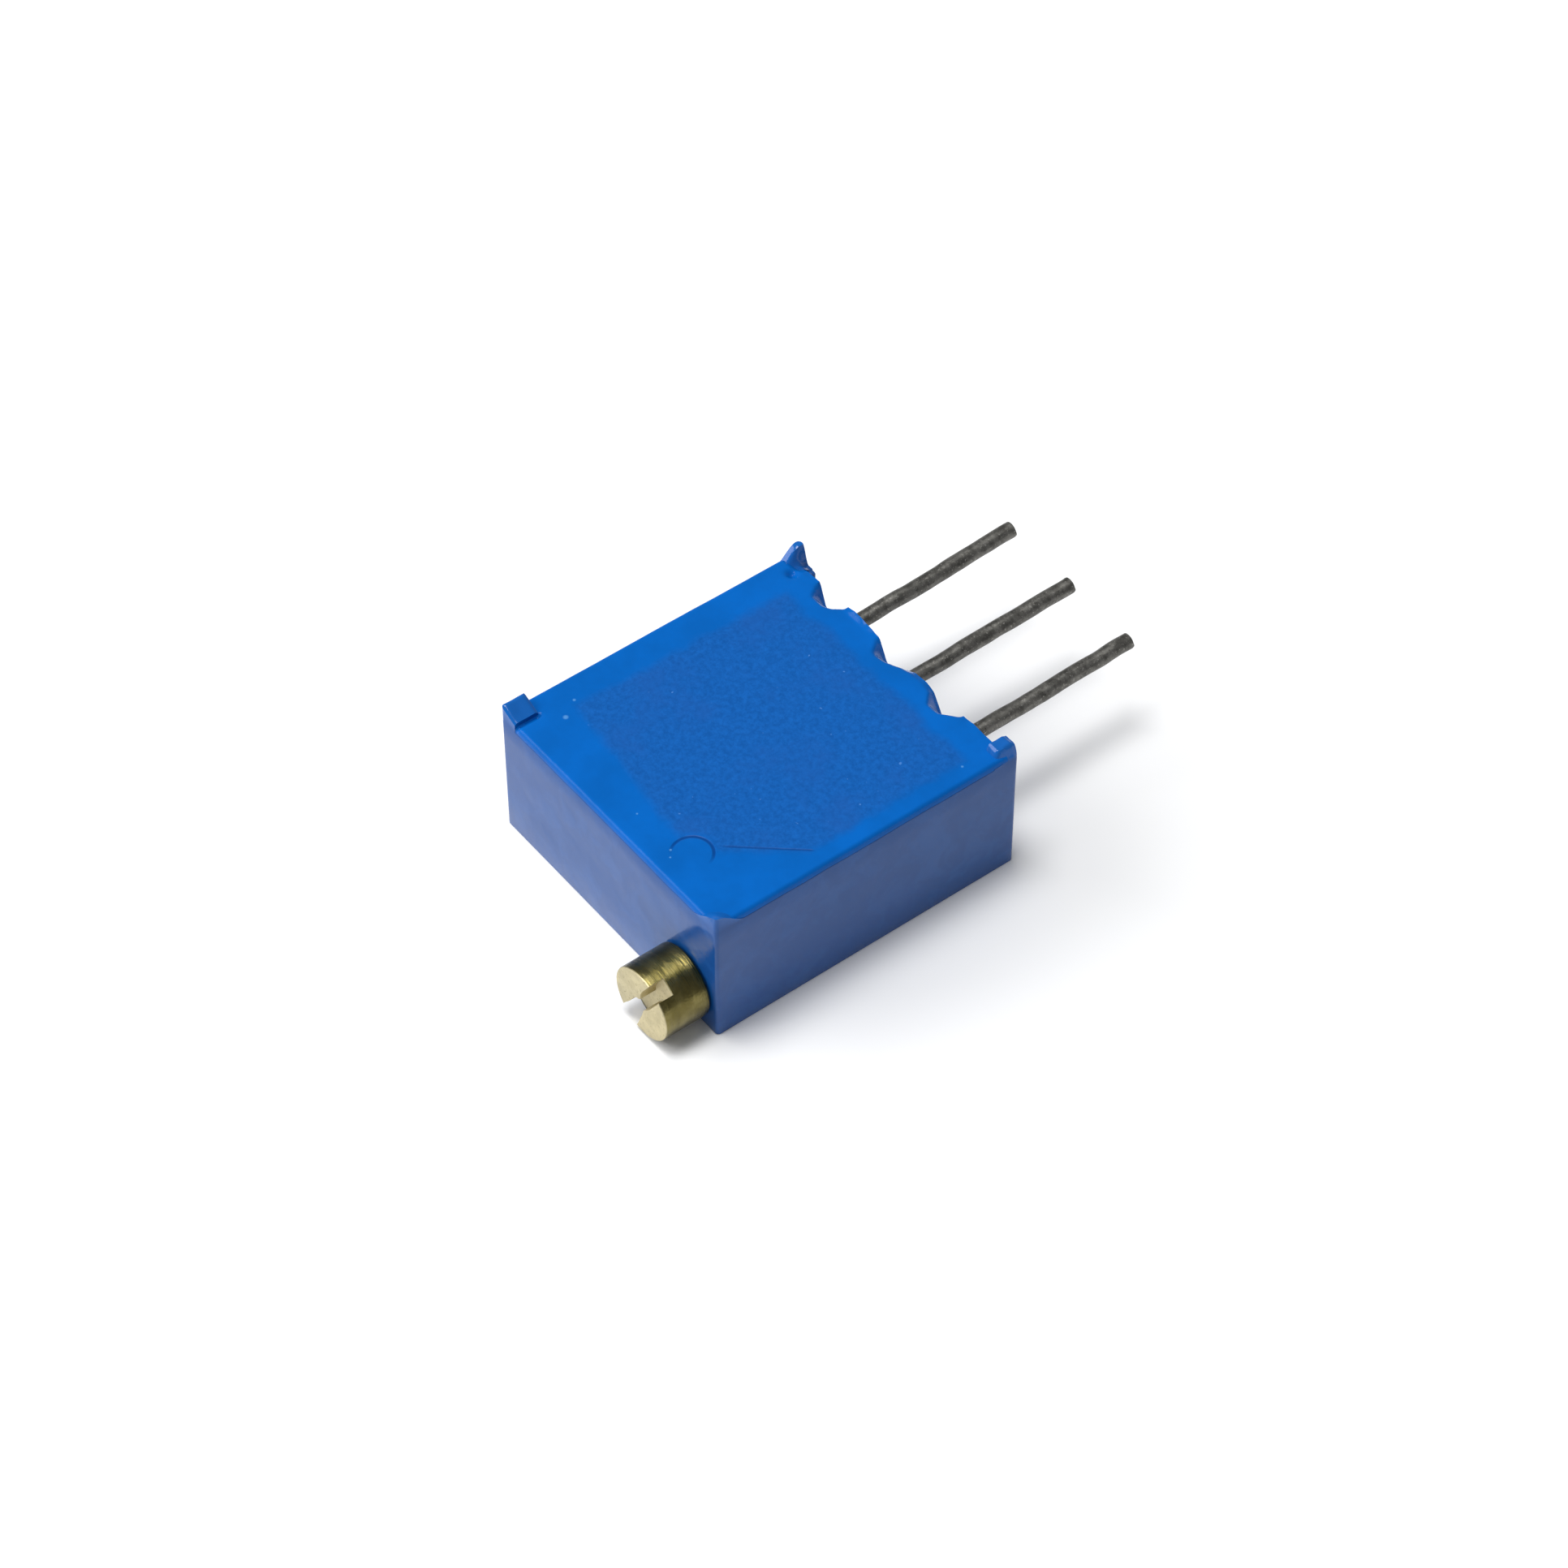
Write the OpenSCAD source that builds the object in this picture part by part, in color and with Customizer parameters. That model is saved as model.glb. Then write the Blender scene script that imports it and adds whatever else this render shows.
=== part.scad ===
// Square multi-turn trimmer potentiometer, side-adjust style, lying on its flat front face.
// X runs across the row of terminals, Y along the terminals, Z from the flat face to the sealed back.
// The origin is the middle of the flat face. All sizes are in millimetres.

/* [Housing] */
// Width of the housing, across the row of terminals
housing_w = 9.53; // [9.2:0.01:11.5]
// Length of the housing, from the screw face to the tips of the standoff feet
housing_l = 10.1; // [9.9:0.01:12.2]
// Height of the walls, from the flat face to the rim
rim_h = 4.2; // [4.05:0.01:5.2]
// Thickness of the two side walls
side_wall_t = 0.45; // [0.3:0.01:0.5]
// Thickness of the wall that the screw passes through
screw_wall_t = 0.6; // [0.4:0.01:0.8]
// Thickness of the wall that the terminals pass through
terminal_wall_t = 0.5; // [0.3:0.01:0.6]
// Thickness of the flat front
floor_t = 0.5; // [0.3:0.01:0.6]
// Radius of the four upright corners
corner_r = 0.12; // [0.05:0.01:0.4]
// Height of the standoff feet beyond the terminal wall
foot_h = 0.35; // [0.1:0.01:0.6]
// Width of each standoff foot
foot_w = 0.8; // [0.5:0.01:0.95]
// Width of the raised nub on each corner of the rim, across the terminals
nub_w = 0.65; // [0.45:0.01:0.8]
// Length of the raised nub on each corner of the rim
nub_l = 0.85; // [0.5:0.01:1.2]
// Rise of each nub above the rim: screw face left and right, terminal end left and right
nub_rise = [0.55, 0.5, 0.55, 0.32]; // [0.25:0.01:0.8]

/* [Epoxy seal] */
// Rise of the cured epoxy above the rim
crown_h = 0.2; // [0.05:0.01:0.24]
// Strip of rim left bare around the epoxy
crown_inset = 0.15; // [0.05:0.01:0.4]
// Radius of the hollow that the epoxy leaves over each terminal
dip_r = 0.52; // [0.2:0.01:0.55]

/* [Terminals] */
// Distance between neighbouring terminals
terminal_pitch = 2.54; // [2:0.01:2.8]
// Diameter of the tinned wire
terminal_d = 0.48; // [0.4:0.01:0.6]
// Length of each wire's free end
terminal_l = 6.14; // [3:0.01:12]
// Upward tilt of each wire's free end, in degrees
terminal_tilt = [2.8, 1.8, 0.6]; // [0:0.1:5]
// Length of wire soldered down inside the housing
terminal_grip = 1.5; // [0.8:0.01:1.7]
// Width of the slot in the terminal wall that each wire drops into
terminal_slot_w = 1.1; // [0.7:0.01:1.4]

/* [Resistance element] */
// Thickness of the ceramic plate
ceramic_t = 0.635; // [0.5:0.005:0.8]
// Gap between the ceramic plate and the walls around it
ceramic_gap = 0.1; // [0.02:0.01:0.12]
// Thickness of the printed films
film_t = 0.02; // [0.01:0.005:0.03]
// Radius of the resistive track at the middle of its width
track_r = 2.4; // [2:0.01:2.6]
// Width of the resistive track
track_w = 0.7; // [0.4:0.01:0.9]
// Angle that the resistive track covers, in degrees
track_sweep = 310; // [302:1:320]
// Outer radius of the collector ring
collector_r = 1.15; // [1:0.01:1.3]
// Width of each printed conductor
conductor_w = 0.6; // [0.4:0.01:0.8]
// Radius of the solder around each wire
solder_r = 0.42; // [0.3:0.01:0.5]

/* [Adjusting screw] */
// Distance from the side of the housing to the screw's axis
screw_edge = 1.32; // [1.28:0.01:1.4]
// Height of the screw's axis above the flat face
screw_z = 1.18; // [1.15:0.01:1.2]
// Diameter of the slotted head
head_d = 2.22; // [1.8:0.01:2.24]
// Length of the slotted head
head_l = 1.46; // [1:0.01:2]
// Width of the screwdriver slot
slot_w = 0.5; // [0.35:0.01:0.7]
// Depth of the screwdriver slot
slot_depth = 0.5; // [0.4:0.01:0.9]
// Angle of the slot above the horizontal, in degrees
slot_angle = 58; // [0:1:180]
// Diameter of the journal that runs in the wall
journal_d = 1.6; // [1.56:0.01:1.7]
// Radial clearance of the journal and the pivot in their bores
running_gap = 0.03; // [0.02:0.005:0.04]
// Thickness of the rubber ring's section
seal_t = 0.3; // [0.2:0.01:0.4]
// Thickness of the clip that keeps the screw in
clip_t = 0.2; // [0.12:0.01:0.25]

/* [Worm and wheel] */
// Number of teeth on the wheel, which is the turns of screw for one turn of the wheel
wheel_teeth = 30; // [30:1:30]
// Distance along the worm from one thread to the next
worm_pitch = 0.628; // [0.6:0.001:0.64]
// Radius of the worm at the middle of its thread
worm_r = 0.62; // [0.6:0.01:0.62]
// Height of the worm's thread
thread_h = 0.36; // [0.3:0.01:0.36]
// Length of the worm
worm_l = 3.2; // [2:0.1:3.6]
// Thickness of the wheel
wheel_t = 0.8; // [0.6:0.01:0.84]
// Diameter of the post that the wheel turns on
post_d = 1.1; // [0.8:0.01:1.3]
// Thickness of the wiper's sheet metal
wiper_t = 0.08; // [0.04:0.01:0.12]

/* [Hidden] */
$fn = 48;
small = 0.02;
head_gap = 0.05;
head_bevel = 0.06;

// Faces of the housing and its cavity
side_x = housing_w / 2;
screw_face_y = -housing_l / 2;
foot_y = housing_l / 2;
terminal_face_y = foot_y - foot_h;
inner_x = side_x - side_wall_t;
inner_y0 = screw_face_y + screw_wall_t;
inner_y1 = terminal_face_y - terminal_wall_t;
seal_z = rim_h + crown_h;

// Terminals lie on the ceramic plate, which hangs a fixed depth below the rim
terminal_z = rim_h - 1.2;
terminal_r = terminal_d / 2;
shank_r = terminal_r - 0.02;
shank_y1 = terminal_face_y + 0.1;
terminal_x = [-terminal_pitch, 0, terminal_pitch];
ceramic_top = terminal_z - shank_r - film_t;
ceramic_z = ceramic_top - ceramic_t;
shelf_top = ceramic_z - film_t;
ceramic_x = inner_x - ceramic_gap;
ceramic_y1 = inner_y1 - ceramic_gap;
pad_y0 = inner_y1 - terminal_grip;

// Screw, boss and clip stations along Y
screw_x = side_x - screw_edge;
journal_r = journal_d / 2;
bore_r = journal_r + running_gap;
head_r = head_d / 2;
head_y1 = screw_face_y - head_gap;
head_y0 = head_y1 - head_l;
boss_y1 = screw_face_y + 2.05;
boss_top = screw_z + bore_r + 0.3;
boss_x0 = screw_x - bore_r - 0.25;
seal_y = screw_face_y + 0.7;
seal_seat_r = journal_r - seal_t;
clip_y = boss_y1 - 0.27;
clip_seat_r = journal_r - 0.35;
ceramic_y0 = boss_y1 + ceramic_gap;

// Worm and wheel
wheel_r = wheel_teeth * worm_pitch / (2 * PI);
wheel_tip_r = wheel_r + thread_h / 2 - 0.06;
wheel_root_r = wheel_r - thread_h / 2 - 0.06;
wheel_x = screw_x - worm_r - wheel_r;
wheel_y = (boss_y1 + inner_y1) / 2 - 0.1;
wheel_z = screw_z;
lead_angle = atan(worm_pitch / (2 * PI * worm_r));
core_r = worm_r - thread_h / 2 - 0.02;
worm_groove_r = worm_r + thread_h / 2 + 0.06;
tooth_half = worm_pitch / 4;
block_y0 = inner_y1 - 0.7;
pivot_y1 = inner_y1 - 0.15;
pivot_r = core_r - 0.05;
post_r = post_d / 2;
post_gap = 0.03;
thrust_gap = 0.04;
wheel_top = wheel_z + wheel_t / 2;
wheel_bottom = wheel_z - wheel_t / 2;
peg_r = 0.18;
peg_x = 0.8;
contact_gap = 0.03;
contact_z = shelf_top - contact_gap;

// A block between two opposite corners
module block(low, high) {
    translate(low)
        cube(high - low);
}

// A rectangle in plan between two corners, with its corners rounded
module rounded_plan(low, high, r) {
    translate([low[0] + r, low[1]])
        square([high[0] - low[0] - 2 * r, high[1] - low[1]]);
    translate([low[0], low[1] + r])
        square([high[0] - low[0], high[1] - low[1] - 2 * r]);
    for (x = [low[0] + r, high[0] - r], y = [low[1] + r, high[1] - r])
        translate([x, y])
            circle(r);
}

// Turns a shape drawn about Z so that it lies about the screw's axis, Z becoming Y
module on_screw_axis() {
    translate([screw_x, 0, screw_z])
        rotate([-90, 0, 0])
            children();
}

// A cylinder about a line along Y
module rod_y(x, z, r, y0, y1) {
    translate([x, y0, z])
        rotate([-90, 0, 0])
            cylinder(h = y1 - y0, r = r);
}

module nubs() {
    for (i = [0:3]) {
        right = i % 2;
        far = i >= 2;
        x0 = right ? side_x - nub_w : -side_x;
        y0 = far ? foot_y - nub_l : screw_face_y;
        translate([0, 0, rim_h])
            linear_extrude(nub_rise[i])
                rounded_plan([x0, y0], [x0 + nub_w, y0 + nub_l], 0.15);
    }
}

// The opening in the terminal wall for one wire, round at the bottom and open at the rim
module terminal_slot(x, y0, y1, top) {
    r = terminal_slot_w / 2;
    rod_y(x, terminal_z, r, y0, y1);
    block([x - r, y0, terminal_z], [x + r, y1, top]);
}

module housing_shell() {
    difference() {
        union() {
            linear_extrude(rim_h)
                rounded_plan([-side_x, screw_face_y], [side_x, terminal_face_y], corner_r);
            for (x0 = [-side_x, side_x - foot_w])
                linear_extrude(rim_h)
                    rounded_plan([x0, terminal_face_y - foot_w], [x0 + foot_w, foot_y], corner_r);
            nubs();
        }
        block([-inner_x, inner_y0, floor_t], [inner_x, inner_y1, rim_h + 2]);
        for (x = terminal_x)
            terminal_slot(x, inner_y1 - small, terminal_face_y + small, rim_h + small);
    }
}

// Shelves that the ceramic plate rests on, and the block that the screw's inner end turns in
module shelves() {
    block([-inner_x, inner_y0, floor_t], [-inner_x + 0.55, inner_y1, shelf_top]);
    block([-inner_x, inner_y0, floor_t], [boss_x0, boss_y1 + 0.25, shelf_top]);
    block([-inner_x, inner_y1 - 0.42, floor_t], [inner_x, inner_y1, shelf_top]);
    block([screw_x - 0.75, block_y0, floor_t], [inner_x, inner_y1, shelf_top]);
}

module boss() {
    block([boss_x0, inner_y0, floor_t], [inner_x, boss_y1, boss_top]);
}

module clip_slot() {
    block([screw_x - 0.79, clip_y - clip_t / 2 - small, floor_t],
          [screw_x + 0.79, clip_y + clip_t / 2 + small, boss_top + small]);
}

// One moulding: shell, shelves, screw boss, wheel post and thrust ring
module housing() {
    color("royalblue")
        difference() {
            union() {
                housing_shell();
                shelves();
                boss();
                translate([wheel_x, wheel_y, floor_t - small])
                    cylinder(h = wheel_top - 0.08 - floor_t + small, r = post_r);
                translate([wheel_x, wheel_y, floor_t - small])
                    cylinder(h = wheel_bottom - thrust_gap - floor_t + small, r = post_r + 0.5);
            }
            rod_y(screw_x, screw_z, bore_r, screw_face_y - small, boss_y1 + small);
            rod_y(screw_x, screw_z, pivot_r + running_gap, block_y0 - small, pivot_y1 + 0.05);
            rod_y(screw_x, screw_z, worm_groove_r, boss_y1 - small, block_y0);
            clip_slot();
        }
}

// A level shank soldered down inside the housing, and a free end that tilts up a little
module terminal(i) {
    color("darkgray") {
        rod_y(terminal_x[i], terminal_z, shank_r, pad_y0, shank_y1 + 0.1);
        translate([terminal_x[i], shank_y1, terminal_z])
            rotate([terminal_tilt[i] - 90, 0, 0])
                cylinder(h = terminal_l, r = terminal_r);
    }
}

// Solder over the inner end of one wire, flat where it wets the film
module solder_joint(i) {
    x = terminal_x[i];
    color("silver")
        difference() {
            rod_y(x, terminal_z, solder_r, pad_y0 - 0.15, pad_y0 + terminal_grip * 0.6);
            block([x - 1, pad_y0 - 1, ceramic_top - 1], [x + 1, inner_y1, ceramic_top + film_t]);
            terminal(i);
        }
}

module ceramic_plate() {
    color("ivory")
        block([-ceramic_x, ceramic_y0, ceramic_z], [ceramic_x, ceramic_y1, ceramic_top]);
}

// A flat arc of film under the ceramic plate, about the wheel's axis
module film_arc(r0, r1, start, sweep) {
    translate([wheel_x, wheel_y, shelf_top])
        rotate([0, 0, start])
            rotate_extrude(angle = sweep)
                translate([r0, 0])
                    square([r1 - r0, film_t]);
}

module resistive_track() {
    color("dimgray")
        film_arc(track_r - track_w / 2, track_r + track_w / 2, 270 - track_sweep / 2, track_sweep);
}

// Film under the plate from y0 to its edge, up the edge, and under the solder
module conductor_run(x, y0) {
    half = conductor_w / 2;
    block([x - half, y0, shelf_top], [x + half, ceramic_y1, ceramic_z]);
    block([x - half, ceramic_y1, shelf_top], [x + half, ceramic_y1 + film_t, ceramic_top + film_t]);
    block([x - half, pad_y0 - 0.2, ceramic_top], [x + half, ceramic_y1, ceramic_top + film_t]);
}

// Conductor from one end of the resistive track to an outer terminal
module end_conductor(i, start) {
    x = terminal_x[i];
    bar_y = wheel_y + track_r + track_w / 2;
    inner = wheel_x + sign(x) * 0.7;
    color("lightsteelblue")
        difference() {
            union() {
                film_arc(track_r - track_w / 2, track_r + track_w / 2, start, 9);
                block([min(x, inner) - 0.1, bar_y - 0.4, shelf_top],
                      [max(x, inner) + 0.1, bar_y + 0.1, ceramic_z]);
                conductor_run(x, bar_y - 0.4);
            }
            resistive_track();
        }
}

module conductor_1() {
    end_conductor(0, 270 - track_sweep / 2 - 9);
}

// Conductor from the collector ring, out through the gap in the track, then across to the middle terminal
module conductor_2() {
    x = terminal_x[1];
    half = conductor_w / 2;
    jog_y0 = wheel_y + track_r + track_w / 2 + 0.22;
    jog_y1 = ceramic_y1 - 0.15;
    color("lightsteelblue")
        union() {
            film_arc(0.5, collector_r, 0, 360);
            block([wheel_x - half, wheel_y + 0.8, shelf_top], [wheel_x + half, jog_y1, ceramic_z]);
            block([min(x, wheel_x) - half, jog_y0, shelf_top], [max(x, wheel_x) + half, jog_y1, ceramic_z]);
            conductor_run(x, jog_y0);
        }
}

module conductor_3() {
    end_conductor(2, 270 + track_sweep / 2);
}

module epoxy_seal() {
    low = [-side_x + crown_inset, screw_face_y + crown_inset];
    high = [side_x - crown_inset, terminal_face_y - crown_inset];
    color("mediumblue")
        difference() {
            union() {
                block([-inner_x, inner_y0, ceramic_z], [inner_x, inner_y1, rim_h]);
                translate([0, 0, rim_h])
                    linear_extrude(crown_h)
                        rounded_plan(low, high, 0.3);
                for (x = terminal_x)
                    terminal_slot(x, inner_y1 - small, terminal_face_y, rim_h);
            }
            block([-ceramic_x, ceramic_y0, ceramic_z - 1], [ceramic_x, ceramic_y1, ceramic_top]);
            block([boss_x0, inner_y0 - 1, 0], [inner_x + 1, boss_y1, boss_top]);
            for (i = [0:2]) {
                x = terminal_x[i];
                half = conductor_w / 2;
                terminal(i);
                rod_y(x, terminal_z, solder_r, pad_y0 - 0.15, pad_y0 + terminal_grip * 0.6);
                block([x - half, pad_y0 - 0.2, ceramic_top],
                      [x + half, ceramic_y1, ceramic_top + film_t]);
                block([x - half, ceramic_y1 - small, shelf_top],
                      [x + half, ceramic_y1 + film_t, ceramic_top + film_t]);
                translate([x, terminal_face_y, seal_z - 0.05])
                    sphere(dip_r);
            }
            nubs();
        }
}

// Flat U of sheet steel that straddles the groove in the screw
module retaining_clip() {
    u_r = clip_seat_r + 0.03;
    color("gainsboro")
        difference() {
            block([screw_x - 0.77, clip_y - clip_t / 2, floor_t],
                  [screw_x + 0.77, clip_y + clip_t / 2, boss_top - 0.1]);
            rod_y(screw_x, screw_z, u_r, clip_y - 1, clip_y + 1);
            block([screw_x - u_r, clip_y - 1, floor_t - 1], [screw_x + u_r, clip_y + 1, screw_z]);
        }
}

// Rope-like thread: an off-centre circle carried up a right-hand helix
module worm_thread() {
    turns = worm_l / worm_pitch;
    translate([0, 0, wheel_y - worm_l / 2])
        rotate([0, 0, -180 * turns])
            linear_extrude(height = worm_l, twist = -360 * turns, slices = round(12 * turns))
                translate([thread_h / 2, 0])
                    circle(worm_r, $fn = 20);
}

// One turned piece: slotted head, journal with its two grooves, worm shaft and pivot
module adjusting_screw() {
    b = head_bevel;
    color("darkgoldenrod")
        difference() {
            on_screw_axis()
                union() {
                    rotate_extrude()
                        polygon([
                            [0, head_y0], [head_r - b, head_y0], [head_r, head_y0 + b],
                            [head_r, head_y1 - b], [head_r - b, head_y1], [journal_r, head_y1],
                            [journal_r, seal_y - 0.2], [seal_seat_r, seal_y - 0.2],
                            [seal_seat_r, seal_y + 0.2], [journal_r, seal_y + 0.2],
                            [journal_r, clip_y - 0.14], [clip_seat_r, clip_y - 0.14],
                            [clip_seat_r, clip_y + 0.14], [journal_r, clip_y + 0.14],
                            [journal_r, boss_y1], [core_r, boss_y1 + 0.2],
                            [core_r, block_y0 - 0.1], [pivot_r, block_y0 - 0.1],
                            [pivot_r, pivot_y1], [0, pivot_y1]
                        ]);
                    worm_thread();
                }
            translate([screw_x, head_y0 - 1, screw_z])
                rotate([0, -slot_angle, 0])
                    block([-head_d, 0, -slot_w / 2], [head_d, 1 + slot_depth, slot_w / 2]);
        }
}

module o_ring() {
    color("darkslategray")
        on_screw_axis()
            rotate_extrude()
                translate([seal_seat_r + seal_t / 2 + 0.01, seal_y])
                    circle(seal_t / 2);
}

// One slanted tooth of the wheel, drawn along +X
module wheel_tooth() {
    face = wheel_t - 0.1;
    rotate([-lead_angle, 0, 0])
        linear_extrude(height = face, center = true)
            polygon([
                [wheel_root_r - 0.15, -tooth_half], [wheel_root_r, -tooth_half * 1.1],
                [wheel_r, -tooth_half * 0.72], [wheel_tip_r, -tooth_half * 0.2],
                [wheel_tip_r, tooth_half * 0.2], [wheel_r, tooth_half * 0.72],
                [wheel_root_r, tooth_half * 1.1], [wheel_root_r - 0.15, tooth_half]
            ]);
}

module worm_wheel() {
    color("whitesmoke")
        translate([wheel_x, wheel_y, wheel_z])
            difference() {
                union() {
                    cylinder(h = wheel_t, r = wheel_root_r, center = true);
                    for (i = [0:wheel_teeth - 1])
                        rotate([0, 0, i * 360 / wheel_teeth])
                            wheel_tooth();
                    for (s = [-1, 1])
                        translate([s * peg_x, 0, 0])
                            cylinder(h = wheel_t / 2 + wiper_t + 0.06, r = peg_r);
                }
                cylinder(h = 2 * wheel_t, r = post_r + post_gap, center = true);
            }
}

// One sprung arm in side view, rising from the plate to its contact, then cut into strips of equal width
module wiper_arm(root, tip, width, fingers) {
    gap = 0.05;
    strip = (width + gap) / fingers - gap;
    rise = contact_z - wiper_t - wheel_top;
    for (i = [0:fingers - 1])
        translate([-width / 2 + i * (strip + gap) + strip, 0, 0])
            rotate([90, 0, -90])
                linear_extrude(strip)
                    polygon([
                        [root, 0], [root + 0.3, 0], [tip, rise], [tip + 0.2, rise - 0.12],
                        [tip + 0.2, rise - 0.12 + wiper_t], [tip, rise + wiper_t],
                        [root + 0.2, wiper_t], [root, wiper_t]
                    ]);
}

module wiper_spring() {
    color("gold")
        translate([wheel_x, wheel_y, wheel_top])
            union() {
                difference() {
                    cylinder(h = wiper_t, r = collector_r);
                    for (s = [-1, 1])
                        translate([s * peg_x, 0, -1])
                            cylinder(h = 2, r = peg_r + 0.01);
                    translate([0, 0.35, -1])
                        cylinder(h = 2, r = 0.3);
                }
                wiper_arm(collector_r - 0.3, track_r, 0.65, 3);
                rotate([0, 0, 180])
                    wiper_arm(-0.6, collector_r - 0.35, 0.4, 2);
            }
}

housing();
epoxy_seal();
ceramic_plate();
resistive_track();
conductor_1();
conductor_2();
conductor_3();
terminal(0);  // terminal_1
terminal(1);  // terminal_2
terminal(2);  // terminal_3
solder_joint(0);  // solder_joint_1
solder_joint(1);  // solder_joint_2
solder_joint(2);  // solder_joint_3
retaining_clip();
adjusting_screw();
o_ring();
worm_wheel();
wiper_spring();
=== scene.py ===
"""Square multi-turn trimmer potentiometer: the looks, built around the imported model."""
import math

import bmesh
import bpy
import numpy as np
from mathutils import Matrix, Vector, noise


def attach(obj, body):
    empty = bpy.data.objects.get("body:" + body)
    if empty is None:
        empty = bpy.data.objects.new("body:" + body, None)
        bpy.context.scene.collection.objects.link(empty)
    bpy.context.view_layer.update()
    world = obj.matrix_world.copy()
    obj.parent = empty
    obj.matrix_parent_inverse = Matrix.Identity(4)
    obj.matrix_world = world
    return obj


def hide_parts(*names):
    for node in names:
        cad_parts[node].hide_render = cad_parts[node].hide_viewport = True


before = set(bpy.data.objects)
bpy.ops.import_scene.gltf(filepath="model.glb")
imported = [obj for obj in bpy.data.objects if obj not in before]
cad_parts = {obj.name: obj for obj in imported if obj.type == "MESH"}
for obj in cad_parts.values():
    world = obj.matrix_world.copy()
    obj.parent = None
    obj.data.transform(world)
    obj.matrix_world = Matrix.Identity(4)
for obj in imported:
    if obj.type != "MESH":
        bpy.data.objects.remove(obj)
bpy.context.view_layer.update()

MM = 0.001


# ---- Housing ------------------------------------------------------------------------------------
# One glossy blue moulding: an open box with standoff feet and a raised nub on each corner of its rim.
# The terminal wall has three round-bottomed slots, and the screw wall is bored for the screw.

class Signal:
    """One output in a material, which adds Math nodes when it is used in an expression."""

    def __init__(self, finish, socket):
        self.finish = finish
        self.socket = socket

    def math(self, operation, *others):
        inputs = dict(enumerate((self,) + others))
        return self.finish.node("ShaderNodeMath", {"operation": operation}, inputs)

    def __add__(self, other):
        return self.math("ADD", other)

    def __sub__(self, other):
        return self.math("SUBTRACT", other)

    def __mul__(self, other):
        return self.math("MULTIPLY", other)

    def __rsub__(self, other):
        return self.finish.node("ShaderNodeMath", {"operation": "SUBTRACT"}, {0: other, 1: self})

    __radd__ = __add__
    __rmul__ = __mul__

    def step(self, low, high):
        """0 below low, 1 above high, with a smooth change between."""
        return self.finish.node("ShaderNodeMapRange", {"interpolation_type": "SMOOTHSTEP"},
                                {"Value": self, "From Min": low, "From Max": high})


class Finish:
    """The nodes of one material."""

    def __init__(self, name):
        self.material = bpy.data.materials.new(name)
        self.material.use_nodes = True
        self.tree = self.material.node_tree
        self.tree.nodes.clear()

    def node(self, kind, settings, inputs, output=None):
        """Adds a node of that type and gives the output of that name, or else its first in use."""
        made = self.tree.nodes.new(kind)
        for name, value in settings.items():
            if name == "stops":
                ramp = made.color_ramp.elements
                while len(ramp) < len(value):
                    ramp.new(1)
                for element, (position, colour) in zip(ramp, value):
                    element.position = position
                    element.color = (*colour, 1)
            else:
                setattr(made, name, value)
        for name, value in inputs.items():
            if isinstance(value, Signal):
                self.tree.links.new(value.socket, made.inputs[name])
            else:
                made.inputs[name].default_value = value
        socket = made.outputs[output] if output else next(s for s in made.outputs if s.enabled)
        return Signal(self, socket)

    def place(self, scale=(1, 1, 1)):
        """Position on the piece in millimetres, stretched by scale."""
        where = self.node("ShaderNodeTexCoord", {}, {}, "Object")
        return self.node("ShaderNodeVectorMath", {"operation": "MULTIPLY"},
                         {0: where, 1: [s / MM for s in scale]})

    def noise(self, size, detail=4.0, roughness=0.55, scale=(1, 1, 1), distortion=0.0):
        """Noise from 0 to 1 with features of about that size in millimetres."""
        return self.node("ShaderNodeTexNoise", {},
                         {"Vector": self.place(scale), "Scale": 1 / size, "Detail": detail,
                          "Roughness": roughness, "Distortion": distortion})

    def blend(self, factor, first, second):
        """A colour between two colours."""
        return self.node("ShaderNodeMix", {"data_type": "RGBA"},
                         {"Factor": factor, "A": first, "B": second}, "Result")

    def bump(self, height, depth, under=None):
        """Relief of that depth in millimetres where height is 1, laid over other relief if given."""
        inputs = {"Height": height, "Distance": depth * MM, "Strength": 1.0}
        if under:
            inputs["Normal"] = under
        return self.node("ShaderNodeBump", {}, inputs)

    def attribute(self, name):
        """The number that paint() stored on the mesh under that name."""
        return self.node("ShaderNodeAttribute", {"attribute_name": name}, {}, "Fac")

    def surface(self, **inputs):
        """The finished material: each input is a socket's name, with _ for its spaces."""
        named = {name.replace("_", " "): value for name, value in inputs.items()}
        shader = self.node("ShaderNodeBsdfPrincipled", {}, named)
        out = self.tree.nodes.new("ShaderNodeOutputMaterial")
        self.tree.links.new(shader.socket, out.inputs["Surface"])
        return self.material


def tone(red, green, blue):
    """A colour in linear light."""
    return (red, green, blue, 1)


WELD = 0.0005   # points closer than this are joined


def add_piece(name, vertices, faces, material, smooth_angle=40):
    """A piece from vertices in millimetres, shaded smooth except across sharp edges."""
    mesh = bpy.data.meshes.new(name)
    mesh.from_pydata([tuple(c * MM for c in v) for v in vertices], [], faces)
    form = bmesh.new()
    form.from_mesh(mesh)
    bmesh.ops.remove_doubles(form, verts=form.verts, dist=WELD * MM)
    bmesh.ops.recalc_face_normals(form, faces=form.faces)
    form.to_mesh(mesh)
    form.free()
    piece = bpy.data.objects.new(name, mesh)
    bpy.context.scene.collection.objects.link(piece)
    piece.data.materials.append(material)
    soften(piece, smooth_angle)
    return piece


def soften(piece, angle):
    piece.data.shade_smooth()
    piece.data.set_sharp_from_angle(angle=math.radians(angle))


def paint(piece, name, share):
    """Stores a number at each vertex for the finish, worked out from its place in millimetres."""
    values = piece.data.attributes.new(name, "FLOAT", "POINT").data
    for vertex, value in zip(piece.data.vertices, values):
        value.value = share(*(vertex.co / MM))


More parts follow.
